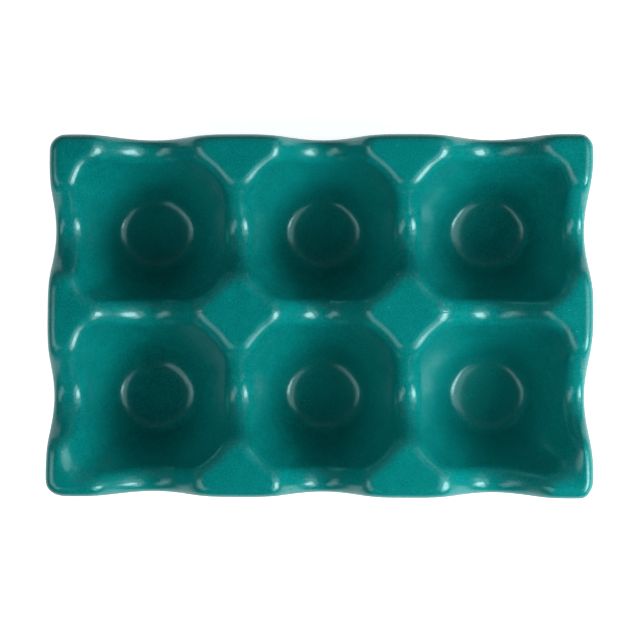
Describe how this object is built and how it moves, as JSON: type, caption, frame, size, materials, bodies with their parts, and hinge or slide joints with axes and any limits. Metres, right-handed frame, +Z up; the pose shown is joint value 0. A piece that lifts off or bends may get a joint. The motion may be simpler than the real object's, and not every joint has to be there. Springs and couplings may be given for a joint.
{
  "type": "egg tray",
  "caption": "Glazed stoneware tray that holds eggs upright in dished eight-sided wells between flat-topped posts, with a wavy rim and soft foot pads.",
  "frame": {"origin": "middle of the tray at table level, between the foot pads", "axes": "+X along the rows of wells, +Y from the front row to the back row, +Z up out of the wells"},
  "size_m": [0.1626, 0.1082, 0.0411],
  "materials": {
    "teal_glaze": "satin glaze",
    "pad_rubber": "matt"
  },
  "bodies": {
    "root": {"stoneware_tray": "teal_glaze", "foot_pad_front_left": "pad_rubber", "foot_pad_front_middle": "pad_rubber", "foot_pad_front_right": "pad_rubber", "foot_pad_back_left": "pad_rubber", "foot_pad_back_middle": "pad_rubber", "foot_pad_back_right": "pad_rubber"}
  },
  "joints": []
}
